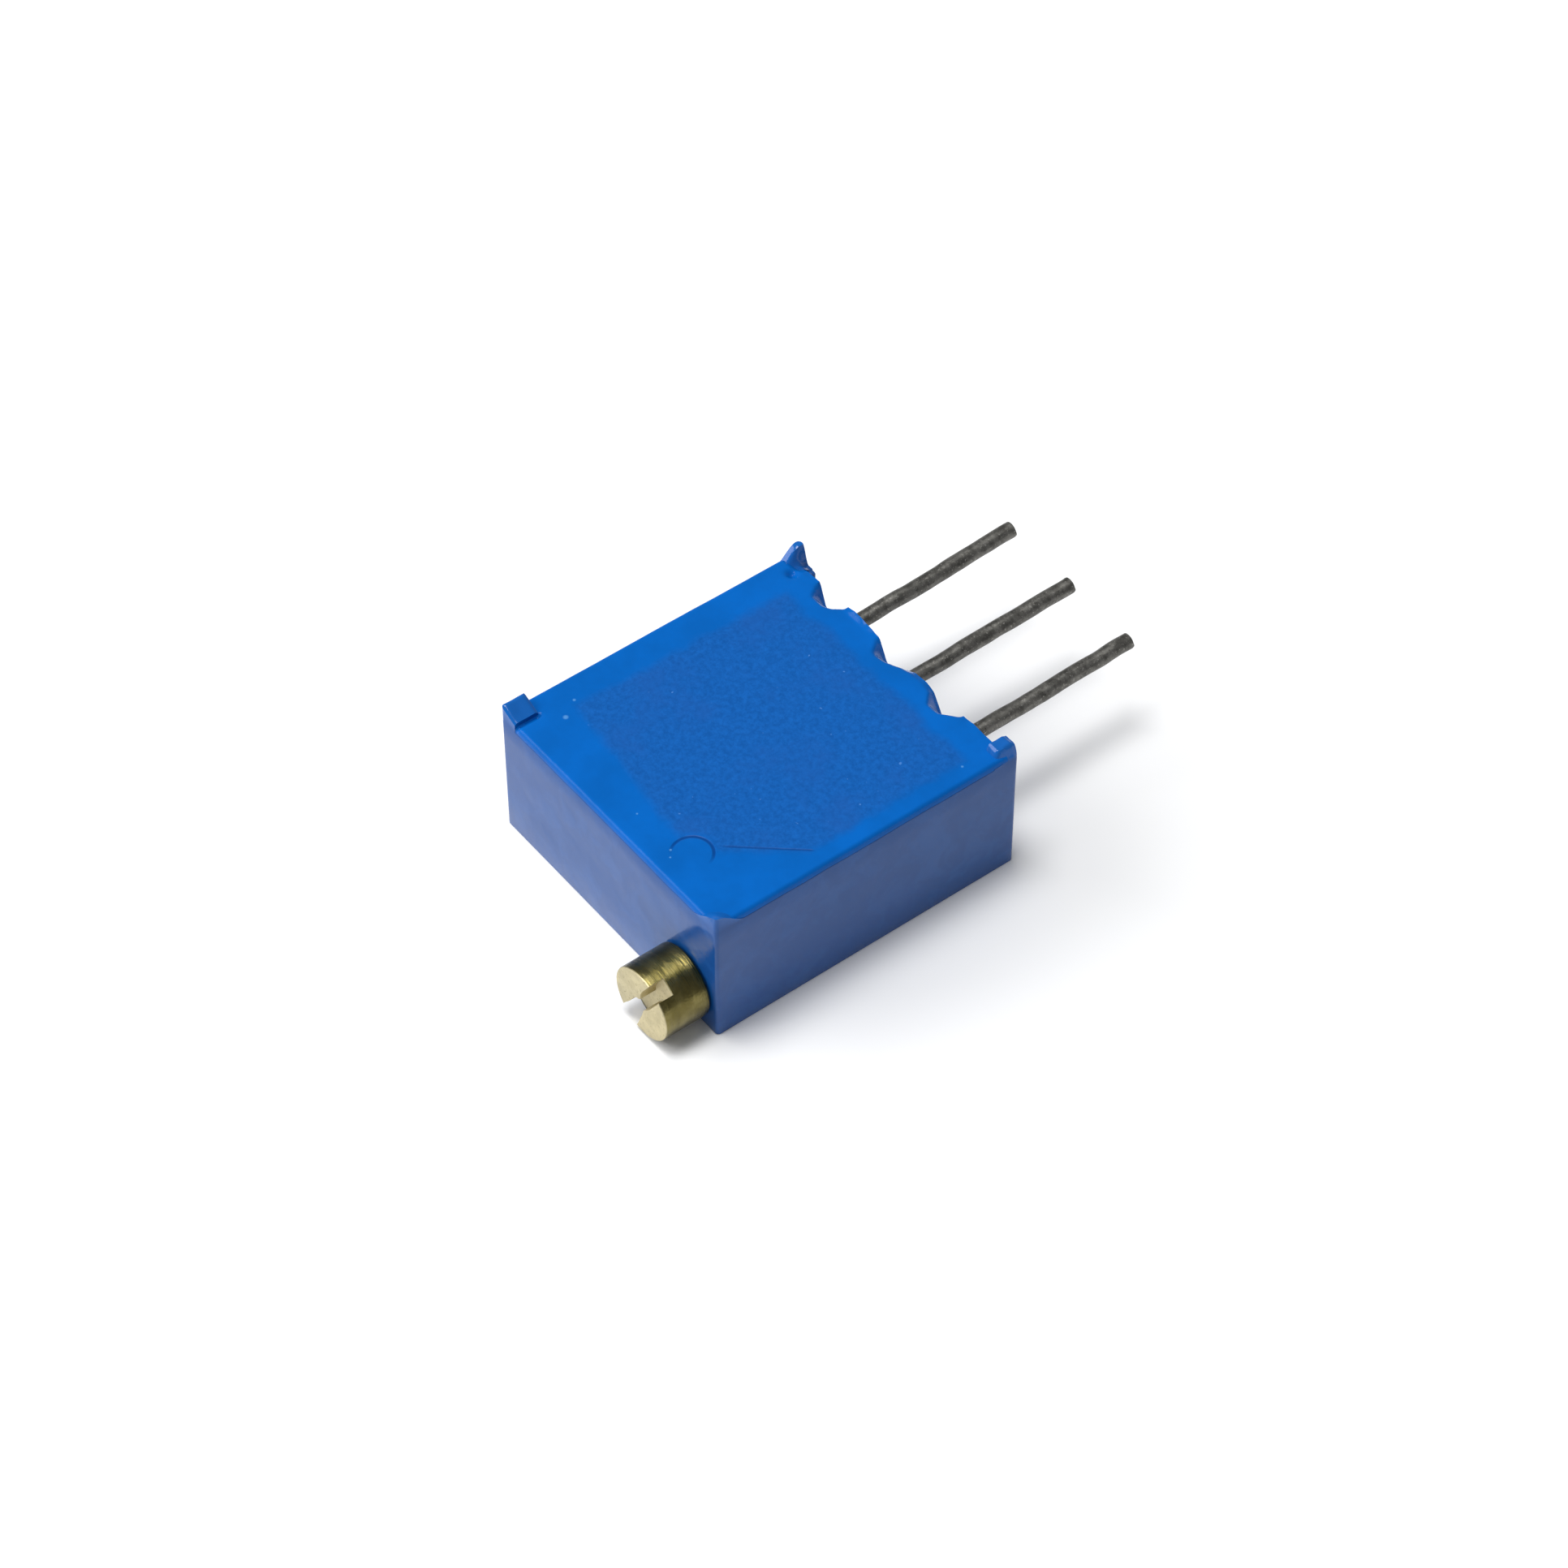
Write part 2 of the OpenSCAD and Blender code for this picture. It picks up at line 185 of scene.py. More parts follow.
def settle(piece):
    """Makes a piece's modifiers part of its mesh."""
    shaped = piece.evaluated_get(bpy.context.evaluated_depsgraph_get())
    mesh = bpy.data.meshes.new_from_object(shaped)
    piece.modifiers.clear()
    piece.data = mesh


def combine(piece, tool, operation):
    """Joins a tool to a piece, or cuts it away, and removes the tool."""
    change = piece.modifiers.new(operation, "BOOLEAN")
    change.operation = operation
    change.object = tool
    change.solver = "EXACT"
    settle(piece)
    bpy.data.objects.remove(tool)


SIDE_X = 4.765
SCREW_FACE_Y = -5.05
TERMINAL_FACE_Y = 4.70
FOOT_Y = 5.05
FOOT_X = 3.965
CORNER_R = 0.12
TOE_R = 0.1
RIM_Z = 4.20
CAVITY_X = 4.315
CAVITY_Y0, CAVITY_Y1 = -4.45, 4.20
CAVITY_Z = 0.5
WARP_Z = 2.4    # the walls are true up to this height


def wavering(*position, size=1.0):
    """Smooth noise from -1 to 1."""
    point = Vector(tuple(position) + (0,) * (3 - len(position)))
    return noise.noise(point / size)


def corner_arc(x, y, radius, start, way=1, count=8):
    """Points of a quarter circle about (x, y), from that angle in degrees; way is -1 for clockwise."""
    angles = [math.radians(start + way * 90 * i / count) for i in range(count + 1)]
    return [(x + radius * math.cos(a), y + radius * math.sin(a)) for a in angles]


def evenly(points, guide, step):
    """A closed outline with its straights divided as those of a guide outline need."""
    out = []
    for k, first in enumerate(points):
        second = points[(k + 1) % len(points)]
        parts = max(1, round(math.dist(guide[k], guide[(k + 1) % len(guide)]) / step))
        for i in range(parts):
            share = i / parts
            out.append((first[0] + (second[0] - first[0]) * share,
                        first[1] + (second[1] - first[1]) * share))
    return out


def housing_outline(inset=0.0):
    """The plan of the moulding, with its standoff feet, anticlockwise."""
    r, toe = CORNER_R, TOE_R
    side = SIDE_X - r
    points = corner_arc(-side, SCREW_FACE_Y + r, r - inset, 180)
    points += corner_arc(side, SCREW_FACE_Y + r, r - inset, 270)
    points += corner_arc(side, FOOT_Y - r, r - inset, 0)
    points += corner_arc(FOOT_X + toe, FOOT_Y - toe, toe - inset, 90, count=5)
    points += corner_arc(FOOT_X - toe, TERMINAL_FACE_Y + toe, toe + inset, 0, -1, 5)
    points += corner_arc(-FOOT_X + toe, TERMINAL_FACE_Y + toe, toe + inset, 270, -1, 5)
    points += corner_arc(-FOOT_X - toe, FOOT_Y - toe, toe - inset, 0, count=5)
    points += corner_arc(-side, FOOT_Y - r, r - inset, 90)
    return points


def wall_rings():
    """The open box as a stack of outlines, up the outside, over the rim and down the inside."""
    def ring(inset, z):
        points = evenly(housing_outline(inset), housing_outline(), 0.08)
        return [(x, y, wall_height(x, y, z)) for x, y in points]

    def inner(lip, z):
        wide, low, high = CAVITY_X + lip, CAVITY_Y0 - lip, CAVITY_Y1 + lip
        inside = [(min(max(x, -wide), wide), min(max(y, low), high)) for x, y, _ in ring(0, z)]
        return [(x, y, wall_height(x, y, z)) for x, y in inside]

    edge = 0.04
    outside = [(edge, 0.0), (edge * 0.6, edge * 0.08), (edge * 0.3, edge * 0.3),
               (edge * 0.08, edge * 0.6), (0.0, edge), (0.0, 1.2), (0.0, 2.4), (0.0, 3.6),
               (0.0, RIM_Z - 0.06), (0.012, RIM_Z - 0.026), (0.035, RIM_Z - 0.008), (0.07, RIM_Z)]
    rings = [ring(inset, z) for inset, z in outside]
    return rings + [inner(edge, RIM_Z), inner(0, RIM_Z - edge), inner(0, CAVITY_Z)]


# Height of the epoxy's edge along the terminal wall, by x: it sinks over each terminal
TERMINAL_EDGE = [(-4.7, 4.30), (-3.95, 4.36), (-3.36, 4.42), (-3.25, 4.10), (-3.10, 3.68),
                 (-2.95, 3.56), (-2.70, 3.66), (-2.42, 3.92), (-2.25, 4.26), (-2.12, 4.46),
                 (-1.80, 4.54), (-1.20, 4.46), (-0.74, 4.38), (-0.60, 4.10), (-0.42, 3.72),
                 (-0.26, 3.62), (0.08, 3.82), (0.48, 4.14), (0.80, 4.30), (1.30, 4.36), (1.62, 4.24),
                 (1.85, 3.86), (2.04, 3.52), (2.34, 3.68), (2.62, 4.06), (2.86, 4.36), (3.35, 4.42),
                 (4.7, 4.36)]


def terminal_edge(x):
    known_x, known_z = zip(*TERMINAL_EDGE)
    return float(np.interp(x, known_x, known_z)) + 0.02 * wavering(x, 5.5, size=0.16)


def wall_height(x, y, z):
    """The rim isn't quite straight, and it is low over the terminals and over the left foot."""
    share = max(0, (z - WARP_Z) / (RIM_Z - WARP_Z))
    drop = 0.16 * ease(y, 4.72, 5.0) * ease(-x, 3.5, 4.0)
    if y > 4.0 and abs(x) < 3.9:
        drop = max(0, RIM_Z - min(RIM_Z, terminal_edge(x) - 0.05))
    wave = 0.030 * wavering(x, y, 3.1, size=1.7) + 0.012 * wavering(x, y, 8.4, size=0.5)
    return z + (wave - drop) * share


def closed_stack(rings):
    """Vertices and faces of a stack of outlines, with both ends closed."""
    count = len(rings[0])
    last = (len(rings) - 1) * count
    vertices = [v for ring in rings for v in ring]
    faces = [(k + i, k + (i + 1) % count, k + count + (i + 1) % count, k + count + i)
             for k in range(0, last, count) for i in range(count)]
    faces.append(tuple(reversed(range(count))))
    faces.append(tuple(last + i for i in range(count)))
    return vertices, faces


def rounded_corner(x, y, corner_x, corner_y, radius):
    """Moves a point near a square corner so that the corner comes out rounded."""
    cx = corner_x - math.copysign(radius, corner_x)
    cy = corner_y - math.copysign(radius, corner_y)
    dx, dy = x - cx, y - cy
    reach = max(abs(dx), abs(dy))
    if dx * corner_x <= 0 or dy * corner_y <= 0:
        return x, y
    share = reach / math.hypot(dx, dy)
    return cx + dx * share, cy + dy * share


def height_block(xs, ys, plan, top, under):
    """A closed block over a grid: plan moves the grid's points, top and under give its heights."""
    points = [plan(x, y) for y in ys for x in xs]
    count, across = len(points), len(xs)
    heights = [top(x, y) for x, y in points]
    vertices = [(x, y, z) for (x, y), z in zip(points, heights)]
    vertices += [(x, y, under(x, y, z)) for (x, y), z in zip(points, heights)]
    faces = []
    for j in range(len(ys) - 1):
        for i in range(across - 1):
            a = j * across + i
            quad = (a, a + 1, a + 1 + across, a + across)
            faces.append(quad)
            faces.append(tuple(count + v for v in reversed(quad)))
    border = list(range(across))
    border += [j * across + across - 1 for j in range(1, len(ys))]
    border += [(len(ys) - 1) * across + i for i in range(across - 2, -1, -1)]
    border += [j * across for j in range(len(ys) - 2, 0, -1)]
    for a, b in zip(border, border[1:] + border[:1]):
        faces.append((b, a, count + a, count + b))
    return vertices, faces


def spread(low, high, step):
    """Evenly spaced values from low to high, about a step apart."""
    return list(np.linspace(low, high, max(2, round((high - low) / step) + 1)))


def ease(value, low, high):
    """0 below low, 1 above high, with a smooth change between."""
    share = min(max((value - low) / (high - low), 0), 1)
    return share * share * (3 - 2 * share)


NUB_FOOT_Z = 3.7        # nubs are rooted this deep in the walls
NUB_GRID = 0.045        # the size of a nub's mesh squares
NUB_SHARE = 0.9992      # keeps their faces just inside the walls' faces


def sloping_nub(x, y):
    """On the left corner of the screw wall: a block that slopes down inwards, with worn edges."""
    worn = min(x + SIDE_X, y - SCREW_FACE_Y, -4.28 - y)
    slope = 4.72 - 0.42 * max(0, x + 4.70)
    return slope - 0.06 * (1 - ease(worn, -0.02, 0.09)) - 0.02 * wavering(x, y, size=0.3)


def peaked_nub(x, y):
    """On the left corner of the terminal wall: a peak on a low base."""
    peak = ease(-x, 4.34, 4.60) * ease(y, 4.20, 4.92)
    base = 4.22 - 0.16 * ease(y, 4.72, 5.0) * (1 - peak)
    return base + 0.50 * peak + 0.012 * wavering(x, y, size=0.2)


def rounded_nub(x, y):
    """On the right corner of the terminal wall: a small rounded block."""
    rise = ease(SIDE_X - x, -0.02, 0.22) * ease(y, 4.22, 4.5) * ease(x, 4.12, 4.22)
    return 4.20 + 0.40 * rise - 0.07 * ease(y, 4.9, 5.05) + 0.015 * wavering(x, y, size=0.2)


def ramped_nub(x, y):
    """Over the screw the rim ramps up to the corner."""
    rise = ease(x, 3.72, 4.8) * (1 - ease(y, -5.0, -4.05))
    return 4.17 + 0.54 * rise + 0.012 * wavering(x, y, size=0.2)


def nub_foot(x, y, top):
    return NUB_FOOT_Z


# Where each nub lies, as (low, high) in x and in y, and its shape
NUBS = [
    ((-SIDE_X, -4.13), (SCREW_FACE_Y, -4.28), sloping_nub),
    ((-SIDE_X, -4.16), (4.22, FOOT_Y), peaked_nub),
    ((4.12, SIDE_X), (4.22, FOOT_Y), rounded_nub),
    ((3.75, SIDE_X), (SCREW_FACE_Y, -4.1), ramped_nub),
]


def plastic():
    """Glossy blue plastic with faint clouds and scuffs. The top of the rim is a brighter blue than the
    sides: partly a film of epoxy over it, partly painted light for the tops that face the lamps.
    """
    finish = Finish("housing plastic")
    large = finish.noise(3.2, 3, 0.5)
    blotch = finish.noise(0.9, 4, 0.6, distortion=0.6)
    grain = finish.noise(0.12, 3, 0.6)
    shade = finish.blend(blotch.step(0.40, 0.66), tone(0.004, 0.066, 0.26), tone(0.007, 0.080, 0.30))
    shade = finish.blend(large.step(0.35, 0.7) * 0.3, shade, tone(0.012, 0.068, 0.27))
    # painted light: the top of the rim and the nubs get the brighter blue of the lit epoxy top, partly
    # standing for an epoxy film over them
    shade = finish.blend(finish.attribute("rim_top"), shade, tone(0.002, 0.102, 0.40))
    scratches = finish.noise(0.09, 2, 0.5, scale=(0.12, 0.12, 1.0))
    roughness = 0.11 + 0.09 * blotch + 0.06 * (scratches - 0.5)
    relief = finish.bump(large, 0.06)
    relief = finish.bump(blotch, 0.008, under=relief)
    relief = finish.bump(grain, 0.0012, under=relief)
    return finish.surface(Base_Color=shade, Roughness=roughness, Normal=relief, IOR=1.45,
                          Specular_IOR_Level=0.42)


housing_plastic = plastic()
housing = add_piece("housing_shell", *closed_stack(wall_rings()), housing_plastic)
for across, along, nub_top in NUBS:
    outer_x = NUB_SHARE * max(across, key=abs)
    outer_y = NUB_SHARE * max(along, key=abs)

    def nub_plan(x, y):
        return rounded_corner(NUB_SHARE * x, NUB_SHARE * y, outer_x, outer_y, CORNER_R)

    nub = height_block(spread(*across, NUB_GRID), spread(*along, NUB_GRID), nub_plan, nub_top, nub_foot)
    combine(housing, add_piece("nub", *nub, housing_plastic), "UNION")

TERMINAL_X = (-2.54, 0.0, 2.54)
SLOT_R = 0.55
WIRE_Z = 3.0
SCREW_X, SCREW_Z = 3.445, 1.18
BORE_R = 0.83
BORE_END_Y = -4.2


def rod(x, z, radius, y0, y1):
    """A cylinder along Y as two rings of points."""
    count = 64
    angles = [2 * math.pi * i / count for i in range(count)]
    return [[(x + radius * math.cos(a), y, z + radius * math.sin(a)) for a in angles]
            for y in (y0, y1)]


def slot_block(x, y0, y1, top, radius):
    """A bar along Y with a half-round underside, as two rings of points."""
    below = [math.radians(180 + 180 * i / 24) for i in range(25)]
    section = [(x + radius * math.cos(a), WIRE_Z + radius * math.sin(a)) for a in below]
    section += [(x + radius, top), (x - radius, top)]
    return [[(px, y, pz) for px, pz in section] for y in (y0, y1)]


for wire_x in TERMINAL_X:
    slot = slot_block(wire_x, CAVITY_Y1 - 0.2, TERMINAL_FACE_Y + 0.2, RIM_Z + 0.8, SLOT_R)
    combine(housing, add_piece("cutter", *closed_stack(slot), housing_plastic), "DIFFERENCE")
bore = closed_stack(rod(SCREW_X, SCREW_Z, BORE_R, SCREW_FACE_Y - 0.35, BORE_END_Y))
combine(housing, add_piece("cutter", *bore, housing_plastic), "DIFFERENCE")
soften(housing, 35)
# marks the top of the rim, which gets the painted light and the epoxy film colour
paint(housing, "rim_top", lambda x, y, z: ease(z, RIM_Z - 0.02, RIM_Z + 0.06))
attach(housing, "case")
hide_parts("housing")


# ---- Epoxy seal ---------------------------------------------------------------------------------
# Blue epoxy poured into the open back. It stands a little proud of the rim, rounds over at the edges
# and sinks over each wire. Its middle is matt and speckled, with a smooth band around it.

EPOXY_Z = 4.40
SEAL_GAP = 0.015        # from the skin's edge to the housing's outer face
ROUND_W, ROUND_DROP = 0.13, 0.17
PLUG_Y = 4.1            # beyond this the skin fills the wire slots
MARK_X, MARK_Y, MARK_R = 2.34, -3.98, 0.57


def field_edge(x, y):
    """Distance inside the matt field, negative outside it: to its sides, cut corner and round mark."""
    ragged = 0.12 * wavering(x, y, 4.2, size=0.6) + 0.06 * wavering(x, y, 7.7, size=0.2)
    left = x + 3.66 - 0.02 * (y - 3)
    right = 4.18 - x
    far = 3.75 - y + 0.25 * wavering(x, 2.2, size=1.1)
    near = y + 3.76 + 0.11 * x
    corner = 0.64 * (y + 3.1) - 0.78 * (x - 2.55) + 0.30
    ring = math.hypot(x - MARK_X, y - MARK_Y) - MARK_R - 0.02
    return min(left, right, far, near, corner, ring) + ragged


def seal_height(x, y):
    """The top of the epoxy."""
    z = EPOXY_Z + 0.012 * wavering(x, y, 1.2, size=2.4) + 0.004 * wavering(x, y, 6.1, size=0.5)
    z += 0.005 * ease(field_edge(x, y), -0.1, 0.15)
    # grooves beside the nubs
    if x < -3.9 and y < -4.0:
        z -= 0.11 * math.exp(-((x + 4.07) / 0.06) ** 2) * ease(-y, 4.15, 4.35)
    if x < -3.9 and y > 4.0:
        z -= 0.15 * math.exp(-((x + 4.12) ** 2 + (y - 4.30) ** 2) / 0.02)
        z -= 0.16 * ease(-x, 3.95, 4.3) * ease(y, 4.35, 4.65)
    # the edge rounds over
    reach = min(SIDE_X - abs(x), y - SCREW_FACE_Y)
    if reach < ROUND_W:
        z -= ROUND_DROP * (1 - math.sqrt(max(0, 1 - ((ROUND_W - reach) / ROUND_W) ** 2)))
    # the terminal end sinks to the wall's edge
    back = TERMINAL_FACE_Y - y
    if back < 0.75:
        wall = terminal_edge(x)
        share = 1 - ease(back, -0.02, 0.22 + 0.36 * ease(EPOXY_Z - wall, 0, 0.8))
        z += (wall - EPOXY_Z) * share
    return z


def seal_foot(x, y, top):
    """The skin is thin, except where it fills the slots in the terminal wall."""
    in_slot = y > PLUG_Y and any(abs(x - wire_x) < SLOT_R + 0.02 for wire_x in TERMINAL_X)
    return 3.3 if in_slot else min(4.13, top - 0.12)


def seal_plan(x, y):
    """Rounds the two corners at the screw's end."""
    corner_x = math.copysign(SIDE_X - SEAL_GAP, x)
    if y < 0:
        return rounded_corner(x, y, corner_x, SCREW_FACE_Y + SEAL_GAP, CORNER_R)
    return x, y


def matt_share(x, y, z):
    """Which part of the epoxy is matt: its top, inside the field."""
    return ease(field_edge(x, y), -0.18, 0.22) if z > EPOXY_Z - 0.15 else 0.0


# Small pale spots, painted highlights of tiny dents in the surface, as (x, y, radius)
DENT_GLINTS = [(-3.57, -3.77, 0.10), (-3.94, -3.22, 0.06), (1.90, -4.36, 0.05), (2.10, -4.52, 0.04),
           (4.28, 3.50, 0.05), (0.35, -4.30, 0.04)]


def epoxy():
    """Smooth blue epoxy with a matt speckled field, small painted highlights, a round mark and a line.
    """
    finish = Finish("epoxy")
    field = finish.attribute("matt_field")
    cloud = finish.noise(1.6, 4, 0.6)
    speck = finish.noise(0.17, 5, 0.78)
    pale = finish.noise(0.22, 1, 0.5)
    smooth = finish.blend(cloud.step(0.3, 0.7), tone(0.001, 0.100, 0.40), tone(0.001, 0.116, 0.47))
    matt = finish.blend(speck.step(0.3, 0.7), tone(0.002, 0.076, 0.31), tone(0.005, 0.108, 0.42))
    matt = finish.blend(cloud.step(0.45, 0.75) * 0.5, matt, tone(0.010, 0.085, 0.34))
    matt = finish.blend(pale.step(0.76, 0.80), matt, tone(0.05, 0.18, 0.50))
    colour = finish.blend(field, smooth, matt)

    # the round mark, open on one side, and the line drawn away from it
    where = finish.place()
    flat = finish.node("ShaderNodeVectorMath", {"operation": "MULTIPLY"}, {0: where, 1: (1, 1, 0)})
    x = finish.node("ShaderNodeSeparateXYZ", {}, {"Vector": where}, "X")
    y = finish.node("ShaderNodeSeparateXYZ", {}, {"Vector": where}, "Y")

    def away_from(centre_x, centre_y):
        return finish.node("ShaderNodeVectorMath", {"operation": "DISTANCE"},
                           {0: flat, 1: (centre_x, centre_y, 0)}, "Value")

    ring = 1 - (away_from(MARK_X, MARK_Y) - MARK_R).math("ABSOLUTE").step(0.015, 0.065)
    ring = ring * (y - MARK_Y - 0.7 * (x - MARK_X)).step(-0.35, 0.25)
    along = (x - 2.75) * 0.653 + (y + 3.08) * 0.757
    aside = (y + 3.08) * 0.653 - (x - 2.75) * 0.757
    line = 1 - aside.math("ABSOLUTE").step(0.01, 0.05)
    line = line * along.step(-0.3, 0.0) * (1 - along.step(2.1, 2.3))
    drawn = ring * 0.8 + line * 0.6
    colour = finish.blend(drawn, colour, tone(0.001, 0.040, 0.20))
    glints = 0
    for glint_x, glint_y, radius in DENT_GLINTS:
        glints = (1 - away_from(glint_x, glint_y).step(0.3 * radius, radius)) + glints
    # painted highlights: pale spots where tiny dents in the surface would catch the light
    colour = finish.blend(glints * 0.7, colour, tone(0.10, 0.30, 0.62))

    roughness = 0.20 + 0.30 * field + 0.10 * (cloud - 0.5)
    relief = finish.bump(finish.noise(0.7, 3, 0.5), 0.010)
    relief = finish.bump(speck * field, 0.006, under=relief)
    relief = finish.bump(1 - drawn, 0.015, under=relief)
    return finish.surface(Base_Color=colour, Roughness=roughness, Normal=relief, IOR=1.45,
                          Specular_IOR_Level=0.10)


def graded(*stretches):
    """Grid lines over stretches of (low, high, step), closer where there is more to shape."""
    return sorted({round(float(line), 4) for stretch in stretches for line in spread(*stretch)})


epoxy_finish = epoxy()
skin_x, skin_y0, skin_y1 = SIDE_X - SEAL_GAP, SCREW_FACE_Y + SEAL_GAP, TERMINAL_FACE_Y - 0.01
lines_x = graded((-skin_x, -3.95, 0.035), (-3.95, 1.6, 0.07), (1.6, 3.1, 0.04), (3.1, 3.95, 0.07),
                 (3.95, skin_x, 0.035))
lines_y = graded((skin_y0, -4.3, 0.035), (-4.3, -3.2, 0.04), (-3.2, 3.9, 0.075), (3.9, skin_y1, 0.035))
skin = height_block(lines_x, lines_y, seal_plan, seal_height, seal_foot)
seal = add_piece("epoxy_skin", *skin, epoxy_finish)

fill_x, fill_y0, fill_y1 = CAVITY_X - 0.015, CAVITY_Y0 + 0.02, CAVITY_Y1 - 0.01
fill_z0, fill_z1, plug_z = 3.45, 4.16, 3.55
fill_plan = [(-fill_x, fill_y0), (fill_x, fill_y0), (fill_x, fill_y1), (-fill_x, fill_y1)]
fill = closed_stack([[(x, y, z) for x, y in fill_plan] for z in (fill_z0, fill_z1)])
combine(seal, add_piece("fill", *fill, epoxy_finish), "UNION")

for wire_x in TERMINAL_X:
    plug = slot_block(wire_x, CAVITY_Y1 - 0.2, TERMINAL_FACE_Y - 0.05, plug_z, SLOT_R + 0.004)
    combine(seal, add_piece("plug", *closed_stack(plug), epoxy_finish), "UNION")
soften(seal, 50)
paint(seal, "matt_field", matt_share)
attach(seal, "case")
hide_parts("epoxy_seal")


# ---- Ceramic plate and printed films ------------------------------------------------------------
# A fired alumina plate with a printed arc of cermet and fired silver conductors on its underside.
# The conductors fold over the plate's edge to the three wires.

def fired_ceramic():
    finish = Finish("alumina")
    cloud = finish.noise(1.5, 4, 0.6)
    grain = finish.noise(0.05, 2, 0.6)
    colour = finish.blend(cloud, tone(0.78, 0.77, 0.72), tone(0.86, 0.85, 0.82))
    colour = finish.blend(grain.step(0.68, 0.8) * 0.5, colour, tone(0.60, 0.58, 0.52))
    relief = finish.bump(grain, 0.004)
    return finish.surface(Base_Color=colour, Roughness=0.55 + 0.2 * cloud, Normal=relief)


def printed_film(name, dark, light, metallic, roughness):
    """Ink printed through a mesh, then fired: the weave of the mesh just shows."""
    finish = Finish(name)
    weave = finish.node("ShaderNodeTexWave", {"bands_direction": "DIAGONAL"},
                        {"Vector": finish.place(), "Scale": 4.0, "Distortion": 1.5, "Detail": 2.0},
                        "Fac")
    grain = finish.noise(0.06, 3, 0.6)
    colour = finish.blend(0.4 * weave + 0.6 * grain, dark, light)
    relief = finish.bump(weave * 0.5 + grain, 0.002)
    return finish.surface(Base_Color=colour, Metallic=metallic, Roughness=roughness + 0.2 * grain,
                          Normal=relief)


def dress(names, material):
    """Gives CAD pieces that are shown as they are their finish."""
    for name in names:
        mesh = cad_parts[name].data
        mesh.materials.clear()
        mesh.materials.append(material)


dress(["ceramic_plate"], fired_ceramic())
dress(["resistive_track"],
      printed_film("cermet", tone(0.010, 0.010, 0.012), tone(0.035, 0.035, 0.04), 0.1, 0.5))
dress(["conductor_1", "conductor_2", "conductor_3"],
      printed_film("fired silver", tone(0.42, 0.40, 0.36), tone(0.66, 0.64, 0.60), 0.9, 0.35))


# ---- Terminals and solder -----------------------------------------------------------------------
# Three cut lengths of tinned round wire, soldered to the plate's conductors and leaving through the
# slots. They have been handled: the tin is dull, scuffed and dark in places, and the wires waver.

WIRE_R = 0.24
WIRE_ROOT_Y, WIRE_TIP_Y = 2.70, 10.905
# The height of each wire at its root and at its tip: they are bent up a little
WIRES = [("terminal_1", 3.02, 3.33), ("terminal_2", 2.98, 3.18), ("terminal_3", 2.92, 3.05)]


def tinned_wire():
    finish = Finish("tinned wire")
    patches = finish.noise(0.30, 4, 0.65)
    fleck = finish.noise(0.07, 3, 0.7)
    drawn = finish.noise(0.05, 2, 0.5, scale=(1, 0.06, 1))
    colour = finish.blend(patches.step(0.35, 0.65), tone(0.095, 0.092, 0.083),
                          tone(0.185, 0.180, 0.164))
    colour = finish.blend(fleck.step(0.58, 0.70), colour, tone(0.36, 0.35, 0.32))
    colour = finish.blend(fleck.step(0.28, 0.40), tone(0.055, 0.052, 0.044), colour)
    roughness = 0.34 + 0.22 * patches
    relief = finish.bump(patches, 0.012)
    relief = finish.bump(fleck, 0.004, under=relief)
    relief = finish.bump(drawn, 0.006, under=relief)
    return finish.surface(Base_Color=colour, Metallic=0.9, Roughness=roughness, Normal=relief)


def wire_rings(seed, x, root_z, tip_z):
    """Rings of a wire from inside the solder to its cut end, which is nipped slightly aslant."""
    rings = []
    count = 36
    angles = [2 * math.pi * i / count for i in range(count)]
    for y in spread(WIRE_ROOT_Y, WIRE_TIP_Y, 0.07):
        out = max(0.0, y - TERMINAL_FACE_Y)
        share = out / (WIRE_TIP_Y - TERMINAL_FACE_Y)
        waver_x = 0.035 * wavering(y, seed, 0.3, size=0.9) * min(1, out)
        waver_z = 0.030 * wavering(y, seed, 9.3, size=0.8) * min(1, out)
        z = root_z + (tip_z - root_z) * share + waver_z
        swell = 1 + 0.035 * wavering(y, seed, 5.5, size=0.7) - 0.03 * (1 - min(1, share * 1.6))
        ring = []
        for a in angles:
            uneven = wavering(math.cos(a), y * 2.2, math.sin(a) + seed, size=0.8)
            radius = WIRE_R * swell * (1 + 0.022 * uneven)
            ring.append((x + waver_x + radius * math.cos(a), y, z + radius * math.sin(a)))
        rings.append(ring)

    def cut_ring(shrink, extra):
        """The last ring, drawn in and moved along, and tipped a little more."""
        tip = rings[-1]
        middle_x = sum(p[0] for p in tip) / count
        middle_z = sum(p[2] for p in tip) / count
        return [(middle_x + (px - middle_x) * shrink,
                 py + extra - 0.10 * (pz - middle_z) + 0.05 * (px - middle_x),
                 middle_z + (pz - middle_z) * shrink) for px, py, pz in tip]

    rings[-1] = cut_ring(0.985, -0.10)
    rings.append(cut_ring(0.93 / 0.985, 0.035))
    rings.append(cut_ring(0.80, 0.012))
    return rings


wire_finish = tinned_wire()
for order, (wire_x, (name, root_z, tip_z)) in enumerate(zip(TERMINAL_X, WIRES)):
    rings = wire_rings(3.7 * order + 1.3, wire_x, root_z, tip_z)
    wire = add_piece(name + "_wire", *closed_stack(rings), wire_finish, 60)
    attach(wire, "case")
    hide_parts(name)


def solder():
    finish = Finish("solder")
    ripple = finish.noise(0.3, 3, 0.5)
    colour = finish.blend(ripple, tone(0.42, 0.42, 0.41), tone(0.62, 0.62, 0.60))
    return finish.surface(Base_Color=colour, Metallic=1.0, Roughness=0.22 + 0.3 * ripple,
                          Normal=finish.bump(ripple, 0.02))


dress(["solder_joint_1", "solder_joint_2", "solder_joint_3"], solder())


# ---- Adjusting screw ----------------------------------------------------------------------------
# One piece of turned brass: a slotted head, a journal with two grooves, and a rope-like worm of one
# start that turns the wheel. The slot has been used and its edges are burred.

